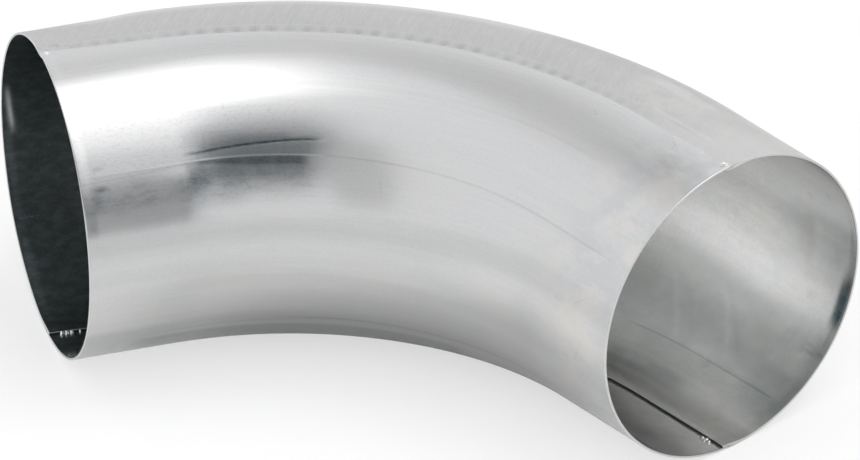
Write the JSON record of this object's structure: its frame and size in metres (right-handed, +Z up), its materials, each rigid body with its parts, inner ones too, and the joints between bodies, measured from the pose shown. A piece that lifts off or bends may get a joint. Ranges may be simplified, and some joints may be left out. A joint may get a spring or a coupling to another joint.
{
  "type": "pipe elbow",
  "caption": "Long-radius sheet-steel pipe elbow, pressed in half shells that are joined by welded lap seams, with a plain round mouth at each end.",
  "frame": {"origin": "middle of the underside of the elbow's bounding box, with the bend lying flat", "axes": "+X along the chord from the inlet mouth to the outlet mouth, +Y from the throat towards the heel of the bend, +Z up, normal to the plane of the bend"},
  "size_m": [0.3384, 0.1696, 0.1262],
  "materials": {
    "heel_steel": "matte steel sheet with fine slanted grinding lines across the bend",
    "throat_steel": "bright pressed steel sheet with soft streaks and fine drawing creases",
    "weld_steel": "ground weld metal with fine ripples across the seam"
  },
  "bodies": {
    "root": {"outer_half_shell": "heel_steel", "inner_half_shell": "throat_steel", "top_seam_weld": "weld_steel", "bottom_seam_weld": "weld_steel", "tack_weld_top_inlet": "weld_steel", "tack_weld_top_outlet": "weld_steel", "tack_weld_bottom_inlet": "weld_steel", "tack_weld_bottom_outlet": "weld_steel"}
  },
  "joints": []
}
